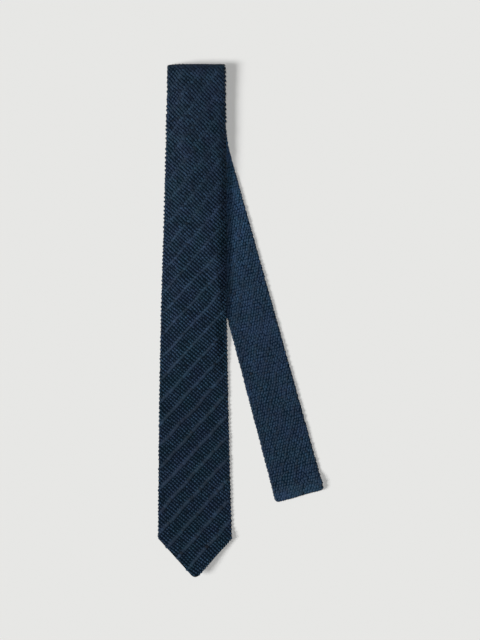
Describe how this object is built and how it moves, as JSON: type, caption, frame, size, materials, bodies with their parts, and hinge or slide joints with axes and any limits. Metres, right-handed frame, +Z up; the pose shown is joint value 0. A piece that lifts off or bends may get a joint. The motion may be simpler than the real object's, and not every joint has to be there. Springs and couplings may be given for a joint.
{
  "type": "silk knit necktie",
  "caption": "Slim knitted silk necktie with a pointed blade and a square tail, folded at the top and lying flat.",
  "frame": {"origin": "on the surface it lies on, under the middle of the folded tie's box", "axes": "+Y from the point to the top fold, +Z up off the surface, +X towards the tail"},
  "size_m": [0.1556, 0.482, 0.0134],
  "materials": {
    "blade_knit": "navy silk knit with diagonal ribs, soft sheen",
    "tail_knit": "navy silk knit, fine upright stitches, soft sheen",
    "turned_knit": "navy silk knit, turned under and plain"
  },
  "bodies": {
    "root": {"front_blade": "blade_knit", "point_flap_left": "turned_knit", "point_flap_right": "turned_knit", "neck_band": "blade_knit", "tail_blade": "tail_knit", "tail_hem": "turned_knit"}
  },
  "joints": []
}
